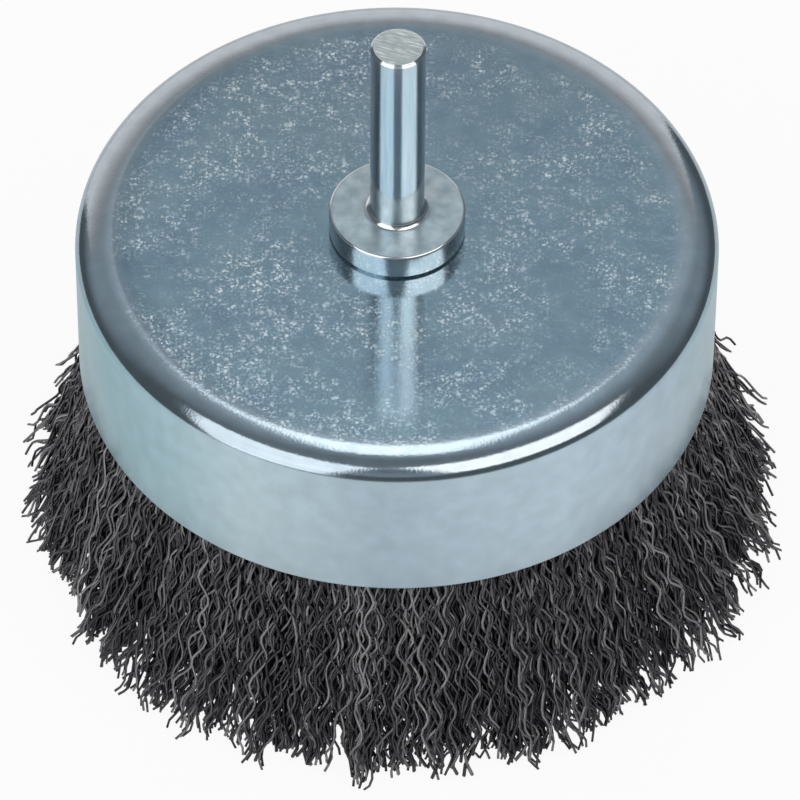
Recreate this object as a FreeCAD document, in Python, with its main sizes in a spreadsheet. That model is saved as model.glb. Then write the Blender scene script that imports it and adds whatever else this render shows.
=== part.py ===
import FreeCAD, Part
import math
import os

import Sketcher

# A crimped wire cup brush for a drill chuck, in millimetres.
# It stands on its wire ends: the trim plane is z = 0, the cup opens downwards and the shank points up.

DRIVING_SIZES = [
    ("shank_diameter", 6.0, "turned shank, the part that a chuck grips"),
    ("shank_length", 25.5, "shank from the collar to its end"),
    ("shank_end_chamfer", 0.3, "chamfer at the end of the shank"),
    ("shank_foot_flare", 0.7, "coned flare where the shank meets the collar"),
    ("collar_diameter", 15.0, "collar that bears on the cup"),
    ("collar_height", 3.3, "thickness of the collar"),
    ("collar_edge_chamfer", 0.3, "broken upper edge of the collar"),
    ("spigot_diameter", 8.0, "reduced end that passes through both pressings"),
    ("spigot_clearance", 0.05, "radial clearance of the spigot in its holes"),
    ("rivet_head_diameter", 12.0, "head spread under the inner cup"),
    ("rivet_head_height", 1.8, "thickness of that head"),
    ("rivet_head_bevel", 0.9, "bevel round that head"),
    ("cup_diameter", 71.0, "drawn cup, outside"),
    ("cup_height", 19.5, "drawn cup from its rim to its flat top"),
    ("cup_sheet", 1.2, "sheet of the cup"),
    ("cup_shoulder_radius", 3.5, "outside radius of the drawn shoulder"),
    ("packed_thickness", 9.3, "room for the packed wire between the walls of the two cups"),
    ("inner_cup_depth", 13.3, "inner cup from its base to its rim"),
    ("inner_cup_sheet", 1.2, "sheet of the inner cup"),
    ("inner_cup_bevel", 1.6, "bevel of its pressed corner, outside"),
    ("ring_width", 2.5, "retaining ring, radial width"),
    ("ring_height", 2.0, "retaining ring, height"),
    ("ring_drop", 3.2, "depth of folded wire between the cup and the ring"),
    ("ring_clearance", 0.15, "room for the ring inside the folded wire"),
    ("trim_length", 25.0, "wire that shows below the rim of the cup"),
    ("flare_spread", 7.6, "how far the outer wires splay out below the rim"),
    ("flare_lead", 1.5, "1 for a straight flare, more for one that opens early"),
    ("mouth_radius", 22.0, "hollow of the brush at the trim plane"),
    ("fold_height", 5.0, "height of the rounded fold at the top of a hank"),
    ("fold_slope", 1.8, "how far that fold leans in on each side"),
    ("hank_count", 20, "hanks of wire round the ring"),
    ("hank_gap_angle", 0.05, "clear angle at each side of a hank, in degrees"),
    ("hank_shortfall", 1.2, "most that a hank falls short of the trim plane"),
    ("bunches_per_hank", 3, "bunches that the wires of a hank gather into below the rim"),
    ("groove_width", 1.5, "hollow between two bunches, across the face of a hank"),
    ("groove_depth", 1.2, "depth of that hollow"),
    ("tip_gap_width", 2.6, "gap between the tips of two bunches at the trim plane"),
    ("tip_gap_height", 4.5, "how far up that gap runs between the bunches"),
    ("seat_clearance", 0.1, "room between the wire and what holds it"),
    ("strands_per_hank", 3, "loose crimped strands on the outside of a hank"),
    ("strand_width", 1.2, "width of a strand against its hank"),
    ("strand_height", 0.6, "how far a strand stands off its hank"),
    ("strand_tuck", 2.4, "strand that is tucked up inside the rim"),
    ("strand_shortfall", 2.0, "most that a strand falls short of the trim plane"),
    ("crimp_pitch", 5.0, "one whole wave of the crimp, measured down the brush"),
    ("crimp_depth", 0.95, "sideways reach of the crimp from its middle"),
    ("stray_lift", 1.8, "how far the tip of a stray strand lifts off its hank"),
]

# Heights and radii that follow from the driving sizes.
CUP_TOP = "(Sizes.trim_length + Sizes.cup_height)"
CUP_UNDERSIDE = "(" + CUP_TOP + " - Sizes.cup_sheet)"
CUP_INNER_RADIUS = "(Sizes.cup_diameter / 2 - Sizes.cup_sheet)"
INNER_CUP_BOTTOM = "(" + CUP_UNDERSIDE + " - Sizes.inner_cup_sheet)"
INNER_CUP_RIM = "(" + CUP_UNDERSIDE + " - Sizes.inner_cup_depth)"
INNER_CUP_RADIUS = "(" + CUP_INNER_RADIUS + " - Sizes.packed_thickness)"
COLLAR_TOP = "(" + CUP_TOP + " + Sizes.collar_height)"
SHANK_TOP = "(" + COLLAR_TOP + " + Sizes.shank_length)"
HOLE_RADIUS = "(Sizes.spigot_diameter / 2 + Sizes.spigot_clearance)"
HALF_HANK = "(180 / Sizes.hank_count)"
HANK_SIDE = "(" + HALF_HANK + " - Sizes.hank_gap_angle)"
FILL_FACE = (
    "(" + CUP_INNER_RADIUS + " * cos(" + HALF_HANK + ") - Sizes.strand_height - 2 * Sizes.seat_clearance)"
)
FILL_BACK = "(" + INNER_CUP_RADIUS + " + Sizes.seat_clearance)"
FILL_TOP = "(" + CUP_UNDERSIDE + " - Sizes.seat_clearance)"

# The retaining ring runs down the middle of the wire, between the walls of the two cups.
RING_TOP = "(" + CUP_UNDERSIDE + " - Sizes.ring_drop)"
RING_BOTTOM = "(" + RING_TOP + " - Sizes.ring_height)"
RING_MIDDLE = "((" + FILL_FACE + " + " + FILL_BACK + ") / 2)"
RING_INNER = "(" + RING_MIDDLE + " - Sizes.ring_width / 2)"
RING_OUTER = "(" + RING_MIDDLE + " + Sizes.ring_width / 2)"

# A hank or a strand takes its own shortfall from the remainder of its number in these cycles.
HANK_STEP = 2
HANK_CYCLE = 5
STRAND_STEP = 5
STRAND_CYCLE = 13
STRAY_EVERY = 3

# The face of a hank has a corner at every few half waves of the crimp.
FACE_STEP = 5
BELOW_TRIM = 5.0

document = FreeCAD.newDocument("wire_cup_brush")


def make_sheet():
    """Write the driving sizes to the spreadsheet, one alias each."""
    sheet = document.addObject("Spreadsheet::Sheet", "Sizes")
    for row, (alias, number, note) in enumerate(DRIVING_SIZES, 1):
        sheet.set("A%d" % row, note)
        sheet.set("B%d" % row, str(number))
        sheet.setAlias("B%d" % row, alias)
    document.recompute()
    return sheet


sizes = make_sheet()


def value(expression):
    """Work out an expression of the sheet's sizes as a plain number."""
    return float(sizes.evalExpression(expression))


def size(alias):
    """Read one driving size."""
    return float(sizes.get(alias))


def new_body(label):
    body = document.addObject("PartDesign::Body", label)
    body.Label = label
    return body


def sketch_on(body, name, role, lift=None, turn=None):
    """Start a sketch on one of the body's own origin planes, lifted off it or turned about z."""
    sketch = body.newObject("Sketcher::SketchObject", name)
    plane = next(feature for feature in body.Origin.OriginFeatures if feature.Role == role)
    sketch.AttachmentSupport = (plane, [""])
    sketch.MapMode = "FlatFace"
    if lift:
        sketch.setExpression("AttachmentOffset.Base.z", lift)
    if turn:
        axis = FreeCAD.Vector(0, 0, 1) if role == "XY_Plane" else FreeCAD.Vector(0, 1, 0)
        sketch.AttachmentOffset = FreeCAD.Placement(FreeCAD.Vector(), FreeCAD.Rotation(axis, 1))
        sketch.setExpression("AttachmentOffset.Rotation.Angle", turn)
    return sketch


def constrain(sketch, kind, elements, expression):
    """Add a measured constraint and bind it to the sheet."""
    number = sketch.addConstraint(Sketcher.Constraint(kind, *elements, value(expression)))
    sketch.setExpression("Constraints[%d]" % number, expression)


def draw_circle(sketch, radius):
    axis = FreeCAD.Vector(0, 0, 1)
    circle = sketch.addGeometry(Part.Circle(FreeCAD.Vector(), axis, value(radius)), False)
    sketch.addConstraint(Sketcher.Constraint("Coincident", circle, 3, -1, 1))
    constrain(sketch, "Radius", (circle,), radius)


def place_point(sketch, line, end, x, y):
    """Hold one end of a line at a pair of expressions, 0 for a point on an axis."""
    if x == 0:
        sketch.addConstraint(Sketcher.Constraint("PointOnObject", line, end, -2))
    else:
        constrain(sketch, "DistanceX", (-1, 1, line, end), x)
    if y == 0:
        sketch.addConstraint(Sketcher.Constraint("PointOnObject", line, end, -1))
    else:
        constrain(sketch, "DistanceY", (-1, 1, line, end), y)


def draw_line(sketch, corners):
    """Draw straight lines from corner to corner, and hold every corner."""
    points = [FreeCAD.Vector(value(str(x)), value(str(y)), 0) for x, y in corners]
    for start, end in zip(points, points[1:]):
        sketch.addGeometry(Part.LineSegment(start, end), False)
    for index in range(len(points) - 2):
        sketch.addConstraint(Sketcher.Constraint("Coincident", index, 2, index + 1, 1))
    for index, (x, y) in enumerate(corners[:-1]):
        place_point(sketch, index, 1, x, y)


def draw_open_line(sketch, corners):
    """Draw a line that stays open, such as the way that a groove follows."""
    draw_line(sketch, corners)
    place_point(sketch, len(corners) - 2, 2, *corners[-1])


def draw_outline(sketch, corners):
    """Draw a closed outline through its corners."""
    draw_line(sketch, corners + corners[:1])
    last = len(corners) - 1
    sketch.addConstraint(Sketcher.Constraint("Coincident", last, 2, 0, 1))


def revolve(body, name, corners):
    sketch = sketch_on(body, name + "_outline", "XZ_Plane")
    draw_outline(sketch, corners)
    turned = body.newObject("PartDesign::Revolution", name)
    turned.Profile = sketch
    turned.ReferenceAxis = (sketch, ["V_Axis"])
    turned.Angle = 360
    document.recompute()
    return turned


def pad_disc(body, name, radius, bottom, length):
    sketch = sketch_on(body, name + "_circle", "XY_Plane", lift=bottom)
    draw_circle(sketch, radius)
    pad = body.newObject("PartDesign::Pad", name)
    pad.Profile = sketch
    pad.setExpression("Length", length)
    document.recompute()
    return pad


def circle_edge(feature, radius, height):
    """Name the round edge of this radius at this height."""
    for number, edge in enumerate(feature.Shape.Edges, 1):
        curve = edge.Curve
        if curve.TypeId != "Part::GeomCircle":
            continue
        if abs(curve.Radius - value(radius)) < 1e-4 and abs(curve.Center.z - value(height)) < 1e-4:
            return "Edge%d" % number
    raise ValueError("no round edge of radius %s at height %s" % (radius, height))


def dress_edges(body, kind, name, feature, places, amount):
    """Fillet or chamfer the round edges at these places, given as radius and height."""
    dressed = body.newObject("PartDesign::" + kind, name)
    dressed.Base = (feature, [circle_edge(feature, *place) for place in places])
    dressed.setExpression("Radius" if kind == "Fillet" else "Size", amount)
    document.recompute()
    return dressed


def drawn_shell(body, name, feature, rim, sheet):
    """Hollow a solid blank to the thickness of its sheet, open at the face at height rim."""
    open_faces = []
    for number, face in enumerate(feature.Shape.Faces, 1):
        box = face.BoundBox
        if abs(box.ZMax - value(rim)) < 1e-4 and abs(box.ZMin - value(rim)) < 1e-4:
            open_faces.append("Face%d" % number)
    shell = body.newObject("PartDesign::Thickness", name)
    shell.Base = (feature, open_faces)
    shell.setExpression("Value", sheet)
    shell.Reversed = True
    document.recompute()
    return shell


def centre_hole(body, name, bottom, depth):
    """Pierce the hole for the spigot upwards from the height bottom."""
    before = body.Shape.Volume
    sketch = sketch_on(body, name + "_circle", "XY_Plane", lift=bottom)
    draw_circle(sketch, HOLE_RADIUS)
    hole = body.newObject("PartDesign::Pocket", name)
    hole.Profile = sketch
    hole.setExpression("Length", depth)
    hole.Reversed = True
    document.recompute()
    if body.Shape.Volume >= before:
        raise ValueError("the hole " + name + " cuts nothing")


def make_cup():
    """The drawn cup: flat top, rounded shoulder, straight wall and a plain cut rim."""
    body = new_body("cup")
    radius = "(Sizes.cup_diameter / 2)"
    rim = "(Sizes.trim_length)"
    inner_radius = "(Sizes.cup_shoulder_radius - Sizes.cup_sheet)"
    inner_bevel = "((2 - sqrt(2)) * " + inner_radius + ")"
    blank = revolve(body, "cup_blank", [(0, rim), (radius, rim), (radius, CUP_TOP), (0, CUP_TOP)])
    shell = drawn_shell(body, "cup_shell", blank, rim, "Sizes.cup_sheet")
    inner_corner = [(CUP_INNER_RADIUS, CUP_UNDERSIDE)]
    eased = dress_edges(body, "Chamfer", "cup_inner_corner", shell, inner_corner, inner_bevel)
    shoulder = [(radius, CUP_TOP)]
    dress_edges(body, "Fillet", "cup_shoulder", eased, shoulder, "Sizes.cup_shoulder_radius")
    centre_hole(body, "cup_hole", CUP_UNDERSIDE, "Sizes.cup_sheet")
    return body


def make_inner_cup():
    """The inner pressing, which pinches the wire against the wall of the cup."""
    body = new_body("inner_cup")
    corners = [(0, INNER_CUP_RIM), (INNER_CUP_RADIUS, INNER_CUP_RIM)]
    corners += [(INNER_CUP_RADIUS, CUP_UNDERSIDE), (0, CUP_UNDERSIDE)]
    blank = revolve(body, "inner_cup_blank", corners)
    corner = [(INNER_CUP_RADIUS, CUP_UNDERSIDE)]
    pressed = dress_edges(body, "Chamfer", "inner_cup_corner", blank, corner, "Sizes.inner_cup_bevel")
    drawn_shell(body, "inner_cup_shell", pressed, INNER_CUP_RIM, "Sizes.inner_cup_sheet")
    centre_hole(body, "inner_cup_hole", INNER_CUP_BOTTOM, "Sizes.inner_cup_sheet")
    return body


def make_shank():
    """The turned shank with its collar, and the spigot that is riveted over under the inner cup."""
    body = new_body("shank")
    collar_radius = "(Sizes.collar_diameter / 2)"
    shank_radius = "(Sizes.shank_diameter / 2)"
    head_radius = "(Sizes.rivet_head_diameter / 2)"
    head_bottom = "(" + INNER_CUP_BOTTOM + " - Sizes.rivet_head_height)"
    grip = "(Sizes.cup_sheet + Sizes.inner_cup_sheet)"
    pad_disc(body, "collar", collar_radius, CUP_TOP, "Sizes.collar_height")
    pad_disc(body, "shank_stem", shank_radius, COLLAR_TOP, "Sizes.shank_length")
    pad_disc(body, "spigot", "(Sizes.spigot_diameter / 2)", INNER_CUP_BOTTOM, grip)
    head = pad_disc(body, "rivet_head", head_radius, head_bottom, "Sizes.rivet_head_height")
    head_edge = [(head_radius, head_bottom)]
    spread = dress_edges(body, "Chamfer", "rivet_bevel", head, head_edge, "Sizes.rivet_head_bevel")
    foot = [(shank_radius, COLLAR_TOP)]
    flared = dress_edges(body, "Chamfer", "shank_foot", spread, foot, "Sizes.shank_foot_flare")
    rim = [(collar_radius, COLLAR_TOP)]
    eased = dress_edges(body, "Chamfer", "collar_edge", flared, rim, "Sizes.collar_edge_chamfer")
    end = [(shank_radius, SHANK_TOP)]
    dress_edges(body, "Chamfer", "shank_end", eased, end, "Sizes.shank_end_chamfer")
    return body


def make_retaining_ring():
    """The hoop inside the fold of the wires, which keeps them from pulling out of the cup."""
    body = new_body("retaining_ring")
    section = [(RING_INNER, RING_BOTTOM), (RING_OUTER, RING_BOTTOM)]
    section += [(RING_OUTER, RING_TOP), (RING_INNER, RING_TOP)]
    revolve(body, "ring_hoop", section)
    return body


def flare_steps():
    """Half waves of the crimp between the rim and the trim plane."""
    return max(4, round(2 * size("trim_length") / size("crimp_pitch")))


def flare_radius(height):
    """Radius of the middle of a hank's outer face at a height below the rim."""
    depth = "(1 - " + height + " / Sizes.trim_length)"
    opened = "(Sizes.flare_lead * " + depth + " - (Sizes.flare_lead - 1) * " + depth + " ^ 2)"
    return "(" + FILL_FACE + " + Sizes.flare_spread * " + opened + ")"


def flare_corners():
    """Corners of a hank's outer face from below the rim down to the trim plane."""
    steps = flare_steps()
    corners = []
    for step in range(FACE_STEP, steps, FACE_STEP):
        height = "(Sizes.trim_length * %d / %d)" % (steps - step, steps)
        corners.append((flare_radius(height), height))
    return corners + [(flare_radius("0"), 0)]


def hank_outline():
    """The section of one hank: wires folded over the ring, pinched in the cup and flared below it."""
    fold_foot = "(" + FILL_TOP + " - Sizes.fold_height)"
    inner_foot = "(" + INNER_CUP_RIM + " - Sizes.seat_clearance)"
    outside = [(FILL_FACE, fold_foot), (FILL_FACE, "Sizes.trim_length")] + flare_corners()
    inside = [
        ("Sizes.mouth_radius", 0),
        (FILL_BACK, inner_foot),
        (FILL_BACK, fold_foot),
        ("(" + FILL_BACK + " + Sizes.fold_slope)", FILL_TOP),
        ("(" + FILL_FACE + " - Sizes.fold_slope)", FILL_TOP),
    ]
    return outside + inside


def cut_pocket(body, sketch, name, both_ways, backwards=False):
    """Cut a sketch right through the body, and stop if it takes nothing away."""
    before = body.Shape.Volume
    pocket = body.newObject("PartDesign::Pocket", name)
    pocket.Profile = sketch
    pocket.setExpression("Length", "Sizes.cup_diameter")
    pocket.Midplane = both_ways
    pocket.Reversed = backwards
    document.recompute()
    if body.Shape.Volume >= before:
        raise ValueError("the cut " + name + " takes nothing away")


def groove_line(turn):
    """The way down the face of a hank from the rim, in an upright plane turned off the hank's middle."""
    corners = [(FILL_FACE, "Sizes.trim_length")] + flare_corners()
    (upper_radius, upper_height), (lower_radius, _) = corners[-2:]
    past_end = "(2 * " + lower_radius + " - " + upper_radius + ")"
    corners[-1] = (past_end, "(-" + upper_height + ")")
    return [("(" + radius + " / cos(" + turn + "))", height) for radius, height in corners]


def cut_groove(body, name, turn):
    """Cut the three-cornered hollow between two bunches along the face of a hank."""
    before = body.Shape.Volume
    corners = groove_line(turn)
    path = sketch_on(body, name + "_path", "XZ_Plane", turn=turn)
    draw_open_line(path, corners)
    face, height = corners[0]
    section = sketch_on(body, name + "_section", "XY_Plane", lift=height, turn=turn)
    bottom = "(" + face + " - Sizes.groove_depth)"
    outside = "(" + face + " + Sizes.groove_depth)"
    draw_outline(section, [(outside, "(-Sizes.groove_width)"), (outside, "Sizes.groove_width"), (bottom, 0)])
    groove = body.newObject("PartDesign::SubtractivePipe", name)
    groove.Profile = section
    groove.Spine = path
    groove.Transition = "Right corner"
    document.recompute()
    if body.Shape.Volume >= before:
        raise ValueError("the groove " + name + " takes nothing away")


def cut_tip_gap(body, name, turn):
    """Cut the gap between the tips of two bunches, right through the hank."""
    sketch = sketch_on(body, name + "_section", "YZ_Plane", turn=turn)
    half = "(Sizes.tip_gap_width / 2)"
    draw_outline(sketch, [("(-" + half + ")", 0), (half, 0), (0, "Sizes.tip_gap_height")])
    cut_pocket(body, sketch, name, both_ways=False, backwards=True)


def part_bunches(body):
    """Part the wires of a hank into bunches, which taper where their tips stand free."""
    count = round(size("bunches_per_hank"))
    for index in range(count + 1):
        turn = "(" + HANK_SIDE + " * (%d / Sizes.bunches_per_hank - 1))" % (2 * index)
        cut_groove(body, "groove_%d" % (index + 1), turn)
        cut_tip_gap(body, "tip_gap_%d" % (index + 1), turn)


def make_hank_blank():
    """One wedge of folded wire, with the channel that the retaining ring runs through."""
    body = new_body("hank_blank")
    section = sketch_on(body, "hank_section", "XZ_Plane")
    draw_outline(section, hank_outline())
    slab = body.newObject("PartDesign::Pad", "hank_slab")
    slab.Profile = section
    slab.setExpression("Length", "Sizes.cup_diameter")
    slab.Midplane = True
    document.recompute()
    half_plane = [(0, 0), ("Sizes.cup_diameter", 0), ("Sizes.cup_diameter", CUP_TOP), (0, CUP_TOP)]
    sides = [("left_side", HANK_SIDE, False), ("right_side", "(-" + HANK_SIDE + ")", True)]
    for name, turn, backwards in sides:
        sketch = sketch_on(body, name + "_plane", "XZ_Plane", turn=turn)
        draw_outline(sketch, half_plane)
        cut_pocket(body, sketch, name, both_ways=False, backwards=backwards)
    room = "Sizes.ring_clearance"
    near = "(" + RING_INNER + " * cos(" + HALF_HANK + ") - " + room + ")"
    far = "(" + RING_OUTER + " + " + room + ")"
    top = "(" + RING_TOP + " + " + room + ")"
    bottom = "(" + RING_BOTTOM + " - " + room + ")"
    channel = sketch_on(body, "channel_section", "XZ_Plane")
    draw_outline(channel, [(near, bottom), (far, bottom), (far, top), (near, top)])
    cut_pocket(body, channel, "ring_channel", both_ways=True)
    part_bunches(body)
    return body


def shortfall(number, step, cycle, most):
    """Share out the lengths unevenly, always the same way."""
    return most * (number * step % cycle) / (cycle - 1)


def make_hanks(blank):
    """The hanks of wire, each one trimmed to its own length and turned to its place on the ring."""
    hanks = []
    count = round(size("hank_count"))
    for index in range(count):
        short = shortfall(index, HANK_STEP, HANK_CYCLE, size("hank_shortfall"))
        trim = document.addObject("Part::Box", "trim_%02d" % (index + 1))
        trim.setExpression("Length", "Sizes.cup_diameter")
        trim.setExpression("Width", "Sizes.cup_diameter")
        trim.Height = BELOW_TRIM + short
        trim.Placement.Base = FreeCAD.Vector(0, -size("cup_diameter") / 2, -BELOW_TRIM)
        label = "wire_hank_%02d" % (index + 1)
        hank = document.addObject("Part::Cut", label)
        hank.Label = label
        hank.Base = blank
        hank.Tool = trim
        turn = FreeCAD.Rotation(FreeCAD.Vector(0, 0, 1), 360 * index / count)
        hank.Placement = FreeCAD.Placement(FreeCAD.Vector(), turn)
        hanks.append(hank)
    return hanks


def strand_section(radius, height, sideways, lean):
    """A three-cornered section that lies against a hank's face, whose outward normal rises by lean."""
    outward = FreeCAD.Vector(math.cos(lean), 0, math.sin(lean))
    foot = FreeCAD.Vector(radius, sideways, height) + outward * size("seat_clearance")
    half = FreeCAD.Vector(0, size("strand_width") / 2, 0)
    return Part.makePolygon([foot - half, foot + half, foot + outward * size("strand_height"), foot - half])


def crimp(height):
    """The zigzag of the crimp, from -1 to 1, at a height on the brush."""
    half_waves = (size("trim_length") - height) * flare_steps() / size("trim_length")
    return 1 - 2 * abs((half_waves + 1) % 2 - 1)


def make_strand(offset, phase, short, lift):
    """One crimped strand down the outside of the first hank, offset sideways at the rim."""
    rim = size("trim_length")
    steps = flare_steps()
    face = value(FILL_FACE)
    heights = [rim + size("strand_tuck")]
    heights += [rim * (steps - step) / steps for step in range(steps)]
    heights.append(short)
    radii = []
    for height in heights:
        depth = max(0, 1 - height / rim)
        flared = value(flare_radius("(%.6f)" % height)) if depth > 0 else face
        radii.append(flared + lift * depth ** 3)
    last = len(heights) - 1
    sections = []
    for index, (radius, height) in enumerate(zip(radii, heights)):
        above = max(index - 1, 0)
        below = min(index + 1, last)
        lean = math.atan2(radii[below] - radii[above], heights[above] - heights[below])
        sideways = offset * radius / face + phase * size("crimp_depth") * crimp(height)
        sections.append(strand_section(radius, height, sideways, lean))
    return Part.makeLoft(sections, True, True)


def make_outer_wires():
    """The loose crimped strands that lie on the outside of the hanks, as separate solids."""
    count = round(size("hank_count"))
    per_hank = round(size("strands_per_hank"))
    width = 2 * value(FILL_FACE) * math.tan(math.pi / count)
    strands = []
    for index in range(count * per_hank):
        hank, place = divmod(index, per_hank)
        offset = width * ((place + 0.5) / per_hank - 0.5)
        short = shortfall(index, STRAND_STEP, STRAND_CYCLE, size("strand_shortfall"))
        phase = 1 if hank % 2 else -1
        lift = 0 if index % STRAY_EVERY else size("stray_lift")
        strand = make_strand(offset, phase, short, lift)
        strand.rotate(FreeCAD.Vector(), FreeCAD.Vector(0, 0, 1), 360 * hank / count)
        strands.append(strand)
    feature = document.addObject("Part::Feature", "outer_wires")
    feature.Label = "outer_wires"
    feature.Shape = Part.makeCompound(strands)
    feature.Placement = FreeCAD.Placement()
    return feature


def check_document(parts):
    """Stop before anything is written if an object failed or a shape isn't sound."""
    for item in document.Objects:
        if "Invalid" in item.State or "Error" in item.State:
            raise ValueError("failed: " + item.Name)
    for part in parts:
        if part.Shape.isNull() or not part.Shape.isValid() or not part.Shape.Solids:
            raise ValueError("not a sound solid: " + part.Label)


def main():
    parts = [make_cup(), make_inner_cup(), make_shank(), make_retaining_ring()]
    parts += make_hanks(make_hank_blank())
    parts.append(make_outer_wires())
    document.recompute()
    check_document(parts)
    os.makedirs("parts", exist_ok=True)
    for part in parts:
        part.Shape.exportStep(os.path.join("parts", part.Label + ".step"))


main()
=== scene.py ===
import math

import bpy
import numpy as np
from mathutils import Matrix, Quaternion, Vector


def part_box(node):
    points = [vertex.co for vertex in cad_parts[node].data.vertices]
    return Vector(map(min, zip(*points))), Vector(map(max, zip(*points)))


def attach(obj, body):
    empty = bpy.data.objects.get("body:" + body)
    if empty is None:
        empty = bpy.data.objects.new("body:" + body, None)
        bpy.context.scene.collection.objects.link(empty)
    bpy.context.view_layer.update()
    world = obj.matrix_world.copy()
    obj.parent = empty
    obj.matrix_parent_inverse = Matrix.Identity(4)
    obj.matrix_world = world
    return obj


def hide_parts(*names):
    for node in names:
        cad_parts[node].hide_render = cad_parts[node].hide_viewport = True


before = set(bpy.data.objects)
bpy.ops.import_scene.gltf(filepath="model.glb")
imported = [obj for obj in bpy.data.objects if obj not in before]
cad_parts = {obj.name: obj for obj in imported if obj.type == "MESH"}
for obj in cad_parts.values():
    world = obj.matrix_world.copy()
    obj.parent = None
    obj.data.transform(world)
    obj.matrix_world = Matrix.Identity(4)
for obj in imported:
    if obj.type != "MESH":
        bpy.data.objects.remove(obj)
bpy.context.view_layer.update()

# Sizes are in millimetres and are turned to metres where a mesh is made.
MM = 0.001


def box_mm(node):
    """The lowest and highest corner of a CAD node, in millimetres."""
    low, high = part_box(node)
    return low / MM, high / MM


cup_low, cup_high = box_mm("cup")
inner_low, inner_high = box_mm("inner_cup")
shank_low, shank_high = box_mm("shank")
ring_low, ring_high = box_mm("retaining_ring")

# The drawn cup. A margin is a narrow ring of faces beside a bend, which keeps the bend's shading off
# the flat.
RIM = cup_low.z
CUP_TOP = cup_high.z
CUP_RADIUS = cup_high.x
CUP_SHEET = 1.2
SHOULDER_WIDTH = 4.0
SHOULDER_DROP = 2.2
SHOULDER_INSIDE = 2.3
SHOULDER_STEPS = 20
SHOULDER_MARGIN = 0.4
RIM_ROUNDING = 0.3

# The pressed inner cup.
INNER_RADIUS = inner_high.x
INNER_RIM = inner_low.z
INNER_TOP = inner_high.z
INNER_SHEET = 1.2
INNER_BEND = 1.8
INNER_MARGIN = 0.3
INNER_ROUNDING = 0.2

# The turned shank, from its end down to the rivet head inside the inner cup.
SHANK_TOP = shank_high.z
SHANK_RADIUS = 3.0
SHANK_CHAMFER = 0.3
SHANK_MARGIN = 1.0
FOOT_FILLET = 0.75
FOOT_FILLET_END = 252
FOOT_MARGIN = 0.3
FOOT_WIDTH = 0.8
COLLAR_RADIUS = shank_high.x
COLLAR_HEIGHT = 3.3
COLLAR_CHAMFER = 0.3
COLLAR_MARGIN = 0.1
COLLAR_LOWER_EDGE = (0.25, 0.35)
SPIGOT_RADIUS = 4.0
SPIGOT_CLEARANCE = 0.05
RIVET_RADIUS = 6.0
RIVET_LOW = shank_low.z
RIVET_HEIGHT = 1.8
RIVET_FACE_INSET = 2.4
# The head's hammered edge, each point as its way in from the edge and down from the head's top.
RIVET_EDGE = ((0.1, 0.0), (0.0, 0.3), (0.35, 0.9), (1.1, 1.45))

# The retaining ring, inside the folds of the wires.
RING_WIDTH = 2.5
RING_HEIGHT = 2.0
RING_RADIUS = ring_high.x - RING_WIDTH / 2
RING_MIDDLE = ring_low.z + RING_HEIGHT / 2

SPIN_STEPS = 192
SHARP_ANGLE = math.radians(24)
WELD_DISTANCE = 0.001

# The wires. The inner ones are thicker than real ones, so that fewer of them fill the brush. Each is
# three-sided, with its corners a little outside its round, so that it looks as thick as it is.
WIRE_DIAMETER = 0.29
INNER_WIRE_DIAMETER = 0.42
WIRE_SIDES = 3
CORNER_REACH = 1.15
HANK_COUNT = 20
FOLDED_PER_HANK = 104
FACE_PER_HANK = 54
OUTER_STRANDS = 900
WIRE_SEED = 23
# How rare light tones are: more for the wires deep inside, as painted shade, and less for the
# outermost, which are partly rubbed and partly given painted light.
FOLDED_RARITY = 3.0
FACE_RARITY = 1.8
OUTER_RARITY = 1.3

# The crimp. Loners are out of step with their bunch. A wire also wanders slowly from side to side, and
# inside the cup it keeps only a share of its crimp, because it is squeezed there.
CRIMP_PITCH = 5.4
CRIMP_HEIGHT = 0.6
CRIMP_TILT = 0.6
LONER_SHARE = 0.26
PHASE_SCATTER = 0.45
PITCH_RANGE = (0.9, 1.14)
PITCH_SCATTER = 0.02
HEIGHT_RANGE = (0.7, 1.2)
WANDER_HEIGHT = 0.5
WANDER_TURN_PER_MM = (0.12, 0.3)
SQUEEZED_SHARE = 0.25
FREED_ABOVE_RIM = 1.0
FREED_OVER = 4.0

# The flare and the tips. Wires gather into bunches towards their tips, which are cut to a taper.
START_ABOVE_RIM = 2.0
FLARE_CURVE = 0.15
FARTHEST_TIP = 46.0
TIP_PULL = 0.72
TAPER = 0.5
CUT_SCATTER = 0.45
TURN_POWER = 1.3
GATHER_FROM = 0.2
GATHER_POWER = 1.5
SPLAY_POWER = 3
FARTHEST_SPLAY = 3.2
HANK_PUSH = 0.7
LEAN_ANGLE = math.radians(-34)
LEAN_SWING = 1.08
LEAN_MEAN = 0.3
WALL_CLEARANCE = 0.05
HELD_BELOW_RIM = 0.3

# The wires folded over the ring: the legs' places at the rim are given from the ring's circle.
FOLD_REACH = (1.6, 3.6)
FOLD_POINTS = 4
OUTER_LEG_PLACE = (0.3, 4.85)
INNER_LEG_PLACE = (-0.2, 3.7)
OUTER_LEG_POINTS = 24
INNER_LEG_POINTS = 11
FILL_INSIDE = 25.2
FILL_DEPTH = 8.75
MOUTH_RADIUS = 22.5
TIP_DEPTH = 19.2
FOLDED_GATHER = 0.45

# The wires on the outer face of a hank, and the outermost layer with its strays.
FACE_RIM = (32.0, 33.7)
FACE_TIP = 38.8
FACE_TIP_STEP = 1.4
OUTER_RIM = (33.3, 34.0)
OUTER_TIP = 41.4
STRAY_SHARE = 0.23
STRAY_REACH = (1.0, 5.6)
STRAY_LIFT = 0.8


# Sections and turned pieces


def arc(centre, radius, start, end, steps):
    """Points of a round stretch of a section, as (radius, height), between two angles in degrees."""
    angles = [math.radians(start + (end - start) * i / steps) for i in range(steps + 1)]
    return [(centre[0] + radius * math.cos(a), centre[1] + radius * math.sin(a)) for a in angles]


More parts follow.
